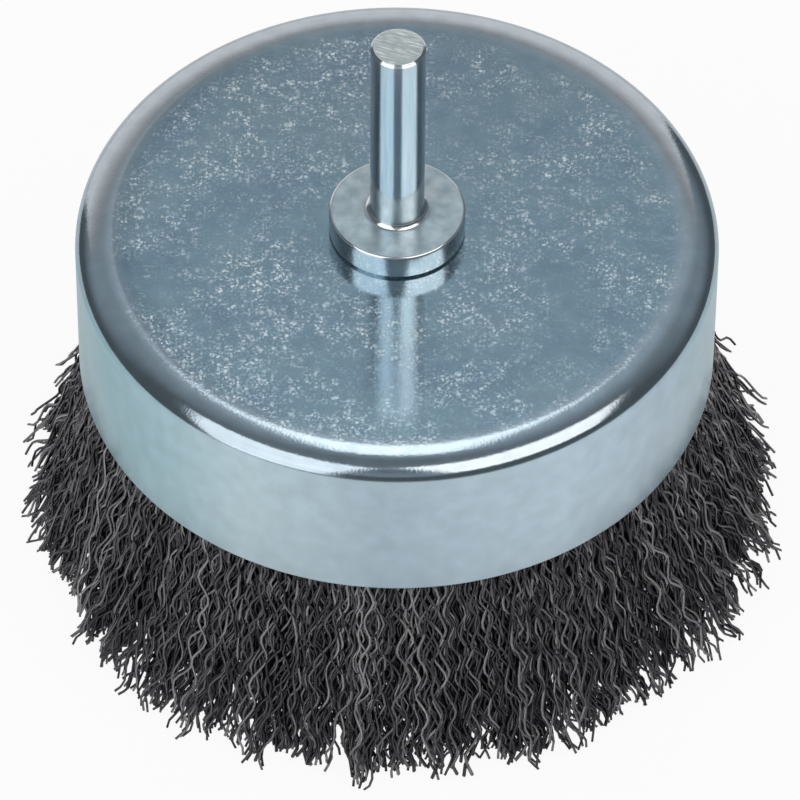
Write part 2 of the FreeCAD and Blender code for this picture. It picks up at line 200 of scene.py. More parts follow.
def shoulder(radius, top, width, drop, steps):
    """The bend from a flat top to a wall: a quarter of an oval, wider than it is deep on a drawn cup."""
    angles = [math.pi / 2 * i / steps for i in range(steps + 1)]
    return [
        (radius - width + width * math.sin(a), top - drop + drop * math.cos(a)) for a in angles
    ]


def turned(name, section):
    """A round piece: its half section is drawn from point to point and spun about the Z axis."""
    bpy.ops.object.select_all(action="DESELECT")
    bpy.ops.mesh.primitive_plane_add(size=MM)
    piece = bpy.context.object
    piece.name = name
    bpy.ops.object.mode_set(mode="EDIT")
    bpy.ops.mesh.merge(type="CENTER")
    here = section[0]
    bpy.ops.transform.translate(value=(here[0] * MM, 0, here[1] * MM))
    for point in section[1:]:
        step = ((point[0] - here[0]) * MM, 0, (point[1] - here[1]) * MM)
        bpy.ops.mesh.extrude_region_move(TRANSFORM_OT_translate={"value": step})
        here = point
    bpy.ops.mesh.select_all(action="SELECT")
    bpy.ops.mesh.spin(steps=SPIN_STEPS, angle=math.tau, center=(0, 0, 0), axis=(0, 0, 1))
    bpy.ops.mesh.select_all(action="SELECT")
    bpy.ops.mesh.remove_doubles(threshold=WELD_DISTANCE * MM)
    bpy.ops.mesh.normals_make_consistent(inside=False)
    bpy.ops.object.mode_set(mode="OBJECT")
    bpy.ops.object.shade_smooth_by_angle(angle=SHARP_ANGLE)
    return piece


def make_cup():
    """The drawn outer cup: flat top with the hole for the spigot, oval shoulder, straight wall."""
    inside = CUP_RADIUS - CUP_SHEET
    ceiling = CUP_TOP - CUP_SHEET
    hole = SPIGOT_RADIUS + SPIGOT_CLEARANCE
    section = [(hole, CUP_TOP), (CUP_RADIUS - SHOULDER_WIDTH - SHOULDER_MARGIN, CUP_TOP)]
    section += shoulder(CUP_RADIUS, CUP_TOP, SHOULDER_WIDTH, SHOULDER_DROP, SHOULDER_STEPS)
    section += [(CUP_RADIUS, CUP_TOP - SHOULDER_DROP - SHOULDER_MARGIN)]
    section += arc((CUP_RADIUS - RIM_ROUNDING, RIM + RIM_ROUNDING), RIM_ROUNDING, 0, -90, 3)
    section += arc((inside + RIM_ROUNDING, RIM + RIM_ROUNDING), RIM_ROUNDING, -90, -180, 3)
    section += shoulder(inside, ceiling, SHOULDER_INSIDE, SHOULDER_INSIDE, 8)[::-1]
    section += [(hole, ceiling), (hole, CUP_TOP)]
    return turned("cup_shell", section)


def make_inner_cup():
    """The pressed inner cup that holds the wire against the outer one."""
    bend = (INNER_RADIUS - INNER_BEND, INNER_TOP - INNER_BEND)
    inside = INNER_RADIUS - INNER_SHEET
    lip = INNER_RIM + INNER_ROUNDING
    hole = SPIGOT_RADIUS + SPIGOT_CLEARANCE
    section = [(hole, INNER_TOP), (bend[0] - INNER_MARGIN, INNER_TOP)]
    section += arc(bend, INNER_BEND, 90, 0, 8)
    section += arc((INNER_RADIUS - INNER_ROUNDING, lip), INNER_ROUNDING, 0, -90, 3)
    section += arc((inside + INNER_ROUNDING, lip), INNER_ROUNDING, -90, -180, 3)
    section += arc(bend, INNER_BEND - INNER_SHEET, 0, 90, 5)
    section += [(hole, INNER_TOP - INNER_SHEET), (hole, INNER_TOP)]
    return turned("inner_cup_shell", section)


def make_shank():
    """Shank, collar, spigot and rivet head, turned in one piece."""
    collar_top = CUP_TOP + COLLAR_HEIGHT
    head_top = RIVET_LOW + RIVET_HEIGHT
    foot = (SHANK_RADIUS + FOOT_FILLET, collar_top + FOOT_FILLET)
    collar_edge = (COLLAR_RADIUS - COLLAR_CHAMFER, collar_top - COLLAR_CHAMFER)
    section = [(0, SHANK_TOP), (SHANK_RADIUS - SHANK_CHAMFER, SHANK_TOP)]
    section += [(SHANK_RADIUS, SHANK_TOP - SHANK_CHAMFER), (SHANK_RADIUS, SHANK_TOP - SHANK_MARGIN)]
    section += [(SHANK_RADIUS, collar_top + FOOT_FILLET + FOOT_MARGIN)]
    section += arc(foot, FOOT_FILLET, 180, FOOT_FILLET_END, 8)
    section += [(SHANK_RADIUS + FOOT_WIDTH, collar_top)]
    section += [(COLLAR_RADIUS - COLLAR_CHAMFER - COLLAR_MARGIN, collar_top)]
    section += arc(collar_edge, COLLAR_CHAMFER, 90, 0, 4)
    section += [(COLLAR_RADIUS, CUP_TOP + COLLAR_LOWER_EDGE[1])]
    section += [(COLLAR_RADIUS - COLLAR_LOWER_EDGE[0], CUP_TOP)]
    section += [(SPIGOT_RADIUS, CUP_TOP), (SPIGOT_RADIUS, head_top)]
    section += [(RIVET_RADIUS - inwards, head_top - down) for inwards, down in RIVET_EDGE]
    section += [(RIVET_RADIUS - RIVET_FACE_INSET, RIVET_LOW), (0, RIVET_LOW)]
    return turned("shank_and_collar", section)


# Crimped wire


def around(radius, angle, height):
    """Points at a radius, an angle and a height, as rows of X, Y and Z."""
    return np.stack([radius * np.cos(angle), radius * np.sin(angle), height], axis=-1)


def level_directions(line):
    """At each point of each wire, the level directions away from the brush's axis and round it."""
    out = line.copy()
    out[:, :, 2] = 0
    out /= np.linalg.norm(out, axis=2, keepdims=True)
    aside = np.stack([-out[:, :, 1], out[:, :, 0], np.zeros(out.shape[:2])], axis=-1)
    return out, aside


def flare(share):
    """How far a wire has spread on its way down from the rim, from 0 to 1."""
    share = np.clip(share, 0, 1)
    return (1 - FLARE_CURVE) * share + FLARE_CURVE * share ** 3


def lean(angle):
    """How much farther the worn brush spreads at an angle than it would when new, in millimetres: most
    at its front right, and least opposite."""
    return LEAN_SWING * np.cos(angle - LEAN_ANGLE) + LEAN_MEAN


def bunch_up(rng, tips, size):
    """Shares wires out among small bunches: each one's bunch, and its way to the leader of that."""
    leaders = tips[rng.permutation(len(tips))[: max(1, len(tips) // size)]]
    reach = np.linalg.norm(tips[:, None, :2] - leaders[None, :, :2], axis=2)
    bunch = reach.argmin(axis=1)
    return bunch, leaders[bunch] - tips


def crimp(rng, line, bunch):
    """Bends each wire to and fro along its length, most of them in step with their bunch, as crimped
    wires nest, and the rest out of step."""
    count = len(line)
    step = np.linalg.norm(np.diff(line, axis=1), axis=2)
    along = np.concatenate([np.zeros((count, 1)), np.cumsum(step, axis=1)], axis=1)
    bunches = bunch.max() + 1
    in_step = rng.uniform(0, math.tau, bunches)[bunch] + rng.normal(0, PHASE_SCATTER, count)
    loner = rng.random(count) < LONER_SHARE
    phase = np.where(loner, rng.uniform(0, math.tau, count), in_step)[:, None]
    pitch = rng.uniform(*PITCH_RANGE, bunches)[bunch] + rng.normal(0, PITCH_SCATTER, count)
    wave = np.sin(phase + math.tau * along / (CRIMP_PITCH * pitch[:, None]))
    wander_start = rng.uniform(0, math.tau, (count, 1))
    wander = np.sin(wander_start + along * rng.uniform(*WANDER_TURN_PER_MM, (count, 1)))
    out, aside = level_directions(line)
    tilt = rng.normal(0, CRIMP_TILT, (count, 1, 1))
    across = np.cos(tilt) * aside + np.sin(tilt) * out
    free = np.clip((RIM - line[:, :, 2] + FREED_ABOVE_RIM) / FREED_OVER, SQUEEZED_SHARE, 1.0)
    rise = CRIMP_HEIGHT * rng.uniform(*HEIGHT_RANGE, (count, 1)) * free
    drift = WANDER_HEIGHT * wander * free
    return line + across * (wave * rise)[:, :, None] + aside * drift[:, :, None]


def keep_in_cup(line):
    """Holds the wires inside the cup's wall where they are still in it, and above the ground."""
    limit = CUP_RADIUS - CUP_SHEET - WIRE_DIAMETER / 2 - WALL_CLEARANCE
    radius = np.linalg.norm(line[:, :, :2], axis=2)
    held = np.where(line[:, :, 2] > RIM - HELD_BELOW_RIM, np.minimum(radius, limit), radius)
    line[:, :, :2] *= (held / radius)[:, :, None]
    line[:, :, 2] = np.maximum(line[:, :, 2], WIRE_DIAMETER / 2)
    return line


def leg(rng, rim, tip, tip_height, points, bunch_size, uneven, gather=TIP_PULL, stray=0.0):
    """The part of each wire below the cup, from just inside the rim to its cut end. The rim and the tip
    are each given as a radius and an angle for every wire. Towards their tips, bunches splay by uneven
    amounts and strays by that many millimetres more."""
    rim_radius, rim_angle = rim
    tip_radius, tip_angle = tip
    bunch, pull = bunch_up(rng, around(tip_radius, tip_angle, tip_height), bunch_size)
    pull[:, 2] = 0
    bunches = bunch.max() + 1
    cut = tip_height + np.abs(rng.normal(0, CUT_SCATTER, bunches))[bunch]
    cut += TAPER * np.linalg.norm(pull, axis=1)
    start = RIM + START_ABOVE_RIM
    way = np.linspace(0, 1, points)[None, :]
    height = start + (cut[:, None] - start) * way
    spread = flare(1 - height / RIM)
    reach = tip_radius - rim_radius + lean(tip_angle)
    splay = np.minimum(rng.exponential(uneven, bunches), FARTHEST_SPLAY)[bunch] - uneven / 2 + stray
    radius = rim_radius[:, None] + reach[:, None] * spread + splay[:, None] * spread ** SPLAY_POWER
    radius = np.minimum(radius, FARTHEST_TIP)
    angle = rim_angle[:, None] + (tip_angle - rim_angle)[:, None] * spread ** TURN_POWER
    line = around(radius, angle, height)
    late = np.clip((spread - GATHER_FROM) / (1 - GATHER_FROM), 0, 1) ** GATHER_POWER
    line += gather * pull[:, None, :] * late[:, :, None]
    return keep_in_cup(crimp(rng, line, bunch))


def scattered(rng, angle, spread_mm, radius):
    """Angles moved at random to and fro by about that many millimetres at their radius."""
    return angle + rng.normal(0, spread_mm, len(angle)) / radius


def cut_heights(rng, spread_mm, count):
    """Heights of cut ends that stand on the ground or up to a few times that far above it."""
    return WIRE_DIAMETER / 2 + np.abs(rng.normal(0, spread_mm, count))


def folded_wires(rng, first_angle, last_angle, count):
    """Wires folded in half over the retaining ring, one leg outside it and one inside."""
    fold_angle = rng.uniform(first_angle, last_angle, count)
    side = rng.uniform(*FOLD_REACH, count)
    outer_rim = RING_RADIUS + rng.uniform(*OUTER_LEG_PLACE, count)
    inner_rim = RING_RADIUS - rng.uniform(*INNER_LEG_PLACE, count)
    legs = []
    for rim_radius, points in ((outer_rim, OUTER_LEG_POINTS), (inner_rim, INNER_LEG_POINTS)):
        share = (rim_radius - FILL_INSIDE) / FILL_DEPTH
        tip_radius = MOUTH_RADIUS + TIP_DEPTH * share + rng.normal(0, 0.7, count)
        tip_angle = scattered(rng, fold_angle, 1.6, tip_radius)
        tip_height = cut_heights(rng, 0.5, count)
        rim = (rim_radius, scattered(rng, fold_angle, 0.5, rim_radius))
        tip = (tip_radius, tip_angle)
        legs.append(
            leg(rng, rim, tip, tip_height, points, bunch_size=7, uneven=0.6, gather=FOLDED_GATHER)
        )
    turn = np.linspace(0, math.pi, FOLD_POINTS)[None, :]
    over_ring = RING_RADIUS + side[:, None] * np.cos(turn)
    fold = around(over_ring, fold_angle[:, None], RING_MIDDLE + side[:, None] * np.sin(turn))
    return np.concatenate([legs[0][:, ::-1], fold, legs[1]], axis=1)


def face_strands(rng, first_angle, last_angle, count, push):
    """The wires of a hank that show on its outer face, with the hank pushed out or held back."""
    rim_angle = rng.uniform(first_angle, last_angle, count)
    rim_radius = rng.uniform(*FACE_RIM, count)
    tip_radius = FACE_TIP + FACE_TIP_STEP * (rim_radius - FACE_RIM[0]) + rng.normal(0, 0.4, count)
    tip = (tip_radius, scattered(rng, rim_angle, 2.0, tip_radius))
    tip_height = cut_heights(rng, 0.35, count)
    rim = (rim_radius, rim_angle)
    return leg(rng, rim, tip, tip_height, points=34, bunch_size=8, uneven=1.4, stray=push)


def outer_strands(rng, count, pushes):
    """Wires of the outermost layer, which follow the hanks behind them, with the few that stray."""
    rim_angle = rng.uniform(0, math.tau, count)
    rim_radius = rng.uniform(*OUTER_RIM, count)
    stray = np.where(rng.random(count) < STRAY_SHARE, rng.uniform(*STRAY_REACH, count), 0)
    tip_radius = rng.normal(OUTER_TIP, 0.5, count)
    tip = (tip_radius, scattered(rng, rim_angle, 2.6, tip_radius))
    tip_height = cut_heights(rng, 0.6, count) + STRAY_LIFT * stray
    rim = (rim_radius, rim_angle)
    hank = np.round(rim_angle / math.tau * HANK_COUNT).astype(int) % HANK_COUNT
    stray = stray + pushes[hank]
    return leg(rng, rim, tip, tip_height, points=36, bunch_size=6, uneven=2.0, stray=stray)


def tube_rings(lines, diameter):
    """The corners around each point of each wire: wires by points by corners by X, Y and Z."""
    ahead = np.gradient(lines, axis=1)
    ahead /= np.linalg.norm(ahead, axis=2, keepdims=True)
    _, aside = level_directions(lines)
    first = np.cross(aside, ahead)
    first /= np.linalg.norm(first, axis=2, keepdims=True)
    second = np.cross(ahead, first)
    turn = (np.arange(WIRE_SIDES) * math.tau / WIRE_SIDES)[None, None, :, None]
    reach = diameter / 2 * CORNER_REACH
    return lines[:, :, None, :] + reach * (
        np.cos(turn) * first[:, :, None, :] + np.sin(turn) * second[:, :, None, :]
    )


def wire_mesh(name, groups, rng):
    """One mesh of crimped wires with closed ends. Each group has its lines, the wires' diameter, and how
    rare light tones are among them."""
    places, sides, ends, tones = [], [], [], []
    used = 0
    for lines, diameter, rarity in groups:
        count, points, _ = lines.shape
        corner = used + np.arange(count * points * WIRE_SIDES).reshape(count, points, WIRE_SIDES)
        used += corner.size
        following = np.roll(corner, -1, axis=2)
        around_wire = [corner[:, :-1], following[:, :-1], following[:, 1:], corner[:, 1:]]
        sides.append(np.stack(around_wire, axis=-1).reshape(-1, 4))
        ends.append(np.concatenate([corner[:, 0, ::-1], corner[:, -1]]))
        places.append(tube_rings(lines, diameter).reshape(-1, 3))
        tones.append(np.repeat(rng.random(count) ** rarity, points * WIRE_SIDES))
    places, sides, ends, tones = [np.concatenate(part) for part in (places, sides, ends, tones)]
    corners = np.concatenate([sides.ravel(), ends.ravel()])
    side_starts = np.arange(len(sides)) * 4
    end_starts = sides.size + np.arange(len(ends)) * WIRE_SIDES
    starts = np.concatenate([side_starts, end_starts])
    mesh = bpy.data.meshes.new(name)
    mesh.vertices.add(len(places))
    mesh.vertices.foreach_set("co", (places * MM).astype(np.float32).ravel())
    mesh.loops.add(len(corners))
    mesh.loops.foreach_set("vertex_index", corners.astype(np.int32))
    mesh.polygons.add(len(starts))
    mesh.polygons.foreach_set("loop_start", starts.astype(np.int32))
    mesh.polygons.foreach_set("use_smooth", np.arange(len(starts)) < len(sides))
    tone = mesh.attributes.new("wire_tone", "FLOAT", "POINT")
    tone.data.foreach_set("value", tones.astype(np.float32))
    mesh.update(calc_edges=True)
    mesh.validate()
    piece = bpy.data.objects.new(name, mesh)
    bpy.context.scene.collection.objects.link(piece)
    return piece


# Materials


def colour(code):
    """A #rrggbb colour as Blender's linear colour."""
    parts = [int(code[i : i + 2], 16) / 255 for i in (1, 3, 5)]
    return [p / 12.92 if p <= 0.04045 else ((p + 0.055) / 1.055) ** 2.4 for p in parts] + [1.0]


def new_material(name):
    """A new node material and its surface shader, already linked to the output."""
    material = bpy.data.materials.new(name)
    material.use_nodes = True
    return material, material.node_tree.nodes["Principled BSDF"]


def join(made, inputs):
    """Fills or links inputs of a node, given by their names or in their order. A node that is given
    stands for the first output that it has in use."""
    pairs = inputs.items() if isinstance(inputs, dict) else enumerate(inputs)
    for name, value in pairs:
        if isinstance(value, bpy.types.Node):
            value = next(output for output in value.outputs if output.enabled)
        if isinstance(value, bpy.types.NodeSocket):
            made.id_data.links.new(value, made.inputs[name])
        else:
            made.inputs[name].default_value = value


def add(owner, kind, inputs=(), **settings):
    """Adds a node to a material or the world with its settings, and fills or links its inputs."""
    made = owner.node_tree.nodes.new(kind)
    for name, value in settings.items():
        setattr(made, name, value)
    join(made, inputs)
    return made


def set_stops(ramp, stops):
    """Gives a colour ramp its stops, as pairs of place and #rrggbb colour."""
    elements = ramp.color_ramp.elements
    while len(elements) < len(stops):
        elements.new(0.5)
    for element, (place, code) in zip(elements, stops):
        element.position = place
        element.color = colour(code)


def per_metre(size_mm):
    """The texture scale at which one feature is that many millimetres across."""
    return 1 / (size_mm * MM)


def streaks(material, place, turn, length_mm, width_mm):
    """Noise drawn out along one direction of the XY plane, as fine marks lie."""
    scale = (per_metre(length_mm), per_metre(width_mm), per_metre(width_mm))
    turned_place = add(material, "ShaderNodeVectorRotate", {"Vector": place, "Angle": turn})
    stretched = add(material, "ShaderNodeMapping", {"Vector": turned_place, "Scale": scale})
    return add(material, "ShaderNodeTexNoise", {"Vector": stretched, "Scale": 1.0, "Detail": 1.0})


def dots(material, place, cell_mm, share, reach):
    """Small round marks of uneven size in a share of the cells of a random pattern."""
    inputs = {"Vector": place, "Scale": per_metre(cell_mm)}
    cells = add(material, "ShaderNodeTexVoronoi", inputs, voronoi_dimensions="2D").outputs
    luck = add(material, "ShaderNodeSeparateColor", [cells["Color"]])
    size = add(material, "ShaderNodeMapRange", [luck, 1 - share, 1.0, -0.2, reach])
    inside = add(material, "ShaderNodeMath", [size, cells["Distance"]], operation="SUBTRACT")
    return add(material, "ShaderNodeMapRange", [inside, 0.0, 0.32])


# The faint casts of the passivated plating across the wall, from its left to its right.
WALL_CASTS = (
    (0.16, "#8fbac5"),
    (0.22, "#a6c8d2"),
    (0.34, "#c7dde6"),
    (0.5, "#b6cbd7"),
    (0.67, "#c6dbe7"),
    (0.78, "#b3c9d7"),
    (0.86, "#95bfca"),
)
WALL_CASTS_SPAN = 1.4 * CUP_RADIUS
TOP_CASTS = ((0.3, "#92a8b9"), (0.52, "#98b0bc"), (0.75, "#9fb3bd"))
SHOULDER_TINT = "#b0bec7"
# The pale tint of the pits and scratches is a painted glint, for the light that they catch.
PAINTED_GLINT_TINT = "#e6f0f3"

# Where the looks of the plating change: radii from the middle, depths below the top, and for the
# painted shade at the flat's left edge, places from right to left.
FLAT_RADIUS = CUP_RADIUS - SHOULDER_WIDTH
FLAT_BLEND = 1.2
WALL_DEPTHS = (1.75, 1.35)
SHADED_EDGE_BAND = (27.5, 31.5)
SHADED_EDGE_SIDE = (-10, -24)
MARKS_END = (30.0, 32.0)
RUBBED_MIDDLE = (9.0, 14.0)


def flat_top_pits_and_glints(material, place, parts, from_middle):
    """Pits and scratches of the flat top, from 0 to 1: a relief for the bump, and painted glints in the
    base colour. The pits are thickest at the back left and in patches. They are drawn coarser than real
    ones, which are too fine to show."""
    to_front_right = add(
        material, "ShaderNodeVectorMath", [place, (1.4, -1.2, 0.0)], operation="DOT_PRODUCT"
    )
    clouds = {"Vector": place, "Scale": per_metre(8), "Detail": 4.0}
    clouds = add(material, "ShaderNodeTexNoise", clouds)
    patches = add(material, "ShaderNodeMath", [clouds, to_front_right], operation="SUBTRACT")
    pitted = add(material, "ShaderNodeMapRange", [patches, 0.36, 0.6, 0.12, 1.0])

    # The dots' places are shaken, which makes their outlines uneven.
    shake = add(material, "ShaderNodeTexNoise", {"Vector": place, "Scale": per_metre(0.9)})
    shaken = [shake.outputs["Color"], (0.8 * MM, 0.8 * MM, 0.8 * MM), place]
    shaken = add(material, "ShaderNodeVectorMath", shaken, operation="MULTIPLY_ADD")
    small = dots(material, shaken, cell_mm=0.46, share=0.85, reach=0.66)
    large = dots(material, shaken, cell_mm=0.9, share=0.5, reach=0.5)
    pits = add(material, "ShaderNodeMath", [small, large], operation="MAXIMUM")
    fine = {"Vector": place, "Scale": per_metre(0.34), "Detail": 3.0}
    fine = add(material, "ShaderNodeTexNoise", fine)
    fine = add(material, "ShaderNodeMapRange", [fine, 0.48, 0.72, 0.0, 0.8])
    pits = add(material, "ShaderNodeMath", [pits, fine], operation="MAXIMUM")
    uneven = {"Vector": place, "Scale": per_metre(1.6), "Detail": 3.0}
    uneven = add(material, "ShaderNodeTexNoise", uneven)
    uneven = add(material, "ShaderNodeMapRange", [uneven, 0.36, 0.62, 0.12, 1.0])
    for share in (uneven, pitted):
        pits = add(material, "ShaderNodeMath", [pits, share], operation="MULTIPLY")

    # Scratches run the same way within each field of the sheet.
    fields = add(material, "ShaderNodeTexVoronoi", {"Vector": place, "Scale": per_metre(12)})
    field = add(material, "ShaderNodeSeparateColor", [fields.outputs["Color"]])
    turn = add(material, "ShaderNodeMath", [field, math.pi], operation="MULTIPLY")
    scratches = streaks(material, place, turn, length_mm=3.5, width_mm=0.18)
    scratches = add(material, "ShaderNodeMapRange", [scratches, 0.76, 0.86, 0.0, 0.7])
    marks_and_glints = add(material, "ShaderNodeMath", [pits, scratches], operation="MAXIMUM")

    # The marks end short of the shoulder, sooner at the back, and are rubbed off around the collar.
    backwards = add(material, "ShaderNodeMath", [parts["Y"], 0.04], operation="MULTIPLY")
    from_edge = add(material, "ShaderNodeMath", [from_middle, backwards], operation="ADD")
    end, last = MARKS_END
    kept = add(material, "ShaderNodeMapRange", [from_edge, end * MM, last * MM, 1.0, 0.0])
    start, full = RUBBED_MIDDLE
    rubbed = add(material, "ShaderNodeMapRange", [from_middle, start * MM, full * MM, 0.5, 1.0])
    kept = add(material, "ShaderNodeMath", [kept, rubbed], operation="MULTIPLY")
    return add(material, "ShaderNodeMath", [marks_and_glints, kept], operation="MULTIPLY")


def zinc_plated_sheet():
    """Drawn steel sheet, zinc plated and blue passivated: a cool grey with a faint cast of green and
    violet, a soft mirror on the drawn wall, and many fine pits and a few scratches on the flat top,
    where the sheet kept the grain of the strip and was knocked about in a barrel. The pits and
    scratches carry painted glints, and the flat top has painted shade along its left edge."""
    material, shader = new_material("zinc_plated_sheet")
    place = add(material, "ShaderNodeTexCoord").outputs["Object"]
    parts = add(material, "ShaderNodeSeparateXYZ", [place]).outputs
    level = add(material, "ShaderNodeMapping", {"Vector": place, "Scale": (1.0, 1.0, 0.0)})
    from_middle = add(material, "ShaderNodeVectorMath", [level], operation="LENGTH")
    flat_start = (FLAT_RADIUS - FLAT_BLEND) * MM
    flat = [from_middle, flat_start, FLAT_RADIUS * MM, 1.0, 0.0]
    flat = add(material, "ShaderNodeMapRange", flat)
    low, high = [(CUP_TOP - depth) * MM for depth in WALL_DEPTHS]
    drawn = add(material, "ShaderNodeMapRange", [parts["Z"], low, high])

    # The ground colour: wall, shoulder and flat top.
    span = WALL_CASTS_SPAN * MM
    sideways = add(material, "ShaderNodeMapRange", [parts["X"], -span, span])
    drift = add(material, "ShaderNodeTexNoise", {"Vector": place, "Scale": per_metre(24)})
    drift = add(material, "ShaderNodeMapRange", [drift, 0.2, 0.8, -0.05, 0.05])
    sideways = add(material, "ShaderNodeMath", [sideways, drift], operation="ADD")
    wall = add(material, "ShaderNodeValToRGB", [sideways])
    set_stops(wall, WALL_CASTS)
    clouds = {"Vector": place, "Scale": per_metre(9), "Detail": 4.0}
    top = add(material, "ShaderNodeValToRGB", [add(material, "ShaderNodeTexNoise", clouds)])
    set_stops(top, TOP_CASTS)
    sides = {"Factor": drawn, "A": wall, "B": colour(SHOULDER_TINT)}
    sides = add(material, "ShaderNodeMix", sides, data_type="RGBA")
    cast = {"Factor": flat, "A": sides, "B": top}
    cast = add(material, "ShaderNodeMix", cast, data_type="RGBA")

    # The flat top is mottled, and has painted shade along its left edge.
    mottle = {"Vector": place, "Scale": per_metre(2.2), "Detail": 6.0}
    mottle = add(material, "ShaderNodeTexNoise", mottle)
    mottle = add(material, "ShaderNodeMapRange", [mottle, 0.3, 0.7, 0.93, 1.06])
    near_edge = [from_middle] + [radius * MM for radius in SHADED_EDGE_BAND]
    near_edge = add(material, "ShaderNodeMapRange", near_edge)
    at_left = [parts["X"]] + [side * MM for side in SHADED_EDGE_SIDE]
    at_left = add(material, "ShaderNodeMapRange", at_left)
    edge_shade = add(material, "ShaderNodeMath", [near_edge, at_left], operation="MULTIPLY")
    edge_shade = add(material, "ShaderNodeMapRange", [edge_shade, 0.0, 1.0, 1.0, 0.76])
    off_flat = add(material, "ShaderNodeMath", [1.0, flat], operation="SUBTRACT")
    edge_shade = add(material, "ShaderNodeMath", [edge_shade, off_flat], operation="MAXIMUM")
    value = add(material, "ShaderNodeMath", [mottle, edge_shade], operation="MULTIPLY")
    ground = add(material, "ShaderNodeHueSaturation", {"Color": cast, "Value": value})

    marks_and_glints = flat_top_pits_and_glints(material, place, parts, from_middle)
    marks_and_glints = add(material, "ShaderNodeMath", [marks_and_glints, drawn], operation="MULTIPLY")
    # The pits and scratches are also painted as glints: a pale tint mixed into the base colour.
    tint = {"Factor": marks_and_glints, "A": ground, "B": colour(PAINTED_GLINT_TINT)}
    tint = add(material, "ShaderNodeMix", tint, data_type="RGBA")

    # The strip's own grain, which the bend over the shoulder opened. It is drawn coarser than a real
    # one, which is too fine to show.
    grain = {"Vector": place, "Scale": per_metre(0.3), "Detail": 2.0}
    grain = add(material, "ShaderNodeTexNoise", grain)
    grain = add(material, "ShaderNodeMapRange", [grain, 0.35, 0.65])
    opened = add(material, "ShaderNodeMapRange", [flat, 0.0, 1.0, 0.6, 0.25])
    for share in (drawn, opened):
        grain = add(material, "ShaderNodeMath", [grain, share], operation="MULTIPLY")
    relief = add(material, "ShaderNodeMath", [marks_and_glints, grain], operation="ADD")
    bump = {"Strength": 0.6, "Distance": 0.007 * MM, "Height": relief}
    bump = add(material, "ShaderNodeBump", bump)
    polish = add(material, "ShaderNodeMapRange", [drawn, 0.0, 1.0, 0.26, 0.12])
    dulled = add(material, "ShaderNodeMath", [marks_and_glints, 0.22], operation="MULTIPLY")
    rough = add(material, "ShaderNodeMath", [polish, dulled], operation="ADD")
    join(shader, {"Base Color": tint, "Metallic": 1.0, "Roughness": rough, "Normal": bump})
    return material


# The sawn look begins and is full at these depths below the shank's end, and the look of a level face
# at these shares of upright.
SAWN_DEPTHS = (0.12, 0.04)
LEVEL_SHARE = (0.9, 0.98)


def turned_steel():
    """Turned and zinc plated bar: bright round the shank, satin on the faced collar, sawn at the end."""
    material, shader = new_material("turned_steel")
    place = add(material, "ShaderNodeTexCoord").outputs["Object"]
    normal = add(material, "ShaderNodeNewGeometry").outputs["Normal"]
    upright = add(material, "ShaderNodeSeparateXYZ", [normal]).outputs["Z"]
    facing = add(material, "ShaderNodeMapRange", [upright, *LEVEL_SHARE])
    height = add(material, "ShaderNodeSeparateXYZ", [place]).outputs["Z"]
    low, high = [(SHANK_TOP - depth) * MM for depth in SAWN_DEPTHS]
    at_end = add(material, "ShaderNodeMapRange", [height, low, high])

    # The marks of the saw, drawn coarser than real ones so that they show.
    saw = streaks(material, place, turn=0.35, length_mm=1.6, width_mm=0.22)
    saw = add(material, "ShaderNodeMapRange", [saw, 0.35, 0.7])
    patchy = {"Vector": place, "Scale": per_metre(1.2), "Detail": 3.0}
    patchy = add(material, "ShaderNodeTexNoise", patchy)
    patchy = add(material, "ShaderNodeMapRange", [patchy, 0.35, 0.6, 0.3, 1.0])
    saw = add(material, "ShaderNodeMath", [saw, patchy], operation="MULTIPLY")
    end_tint = {"Factor": saw, "A": colour("#b4bebe"), "B": colour("#e0e6e4")}
    end_tint = add(material, "ShaderNodeMix", end_tint, data_type="RGBA")

    clouds = {"Vector": place, "Scale": per_metre(1.6), "Detail": 4.0}
    clouds = add(material, "ShaderNodeTexNoise", clouds)
    clouds = add(material, "ShaderNodeMapRange", [clouds, 0.3, 0.7])
    face_tint = {"Factor": clouds, "A": colour("#9dafb7"), "B": colour("#c2d1d6")}
    face_tint = add(material, "ShaderNodeMix", face_tint, data_type="RGBA")
    side_or_face = {"Factor": facing, "A": colour("#dce2e7"), "B": face_tint}
    side_or_face = add(material, "ShaderNodeMix", side_or_face, data_type="RGBA")
    tint = {"Factor": at_end, "A": side_or_face, "B": end_tint}
    tint = add(material, "ShaderNodeMix", tint, data_type="RGBA")

    depth = add(material, "ShaderNodeMath", [saw, at_end], operation="MULTIPLY")
    bump = {"Strength": 0.4, "Distance": 0.03 * MM, "Height": depth}
    bump = add(material, "ShaderNodeBump", bump)
    rough = add(material, "ShaderNodeMapRange", [facing, 0.0, 1.0, 0.15, 0.3])
    join(shader, {"Base Color": tint, "Metallic": 1.0, "Roughness": rough, "Normal": bump})
    return material


def crimped_steel_wire():
    """Hard-drawn steel wire, crimped between rollers: a dark drawing skin, so each wire has a tone of
    its own. The wires deep inside get darker tones as painted shade; the outermost get lighter ones,
    partly rubbed grey and partly painted light."""
    material, shader = new_material("crimped_steel_wire")
    tone = add(material, "ShaderNodeAttribute", attribute_name="wire_tone").outputs["Fac"]
    tint = add(material, "ShaderNodeValToRGB", [tone])
    set_stops(tint, [(0.0, "#48474b"), (0.5, "#6a696d"), (1.0, "#a9a8a9")])
    join(shader, {"Base Color": tint, "Metallic": 0.85, "Roughness": 0.38})
    return material


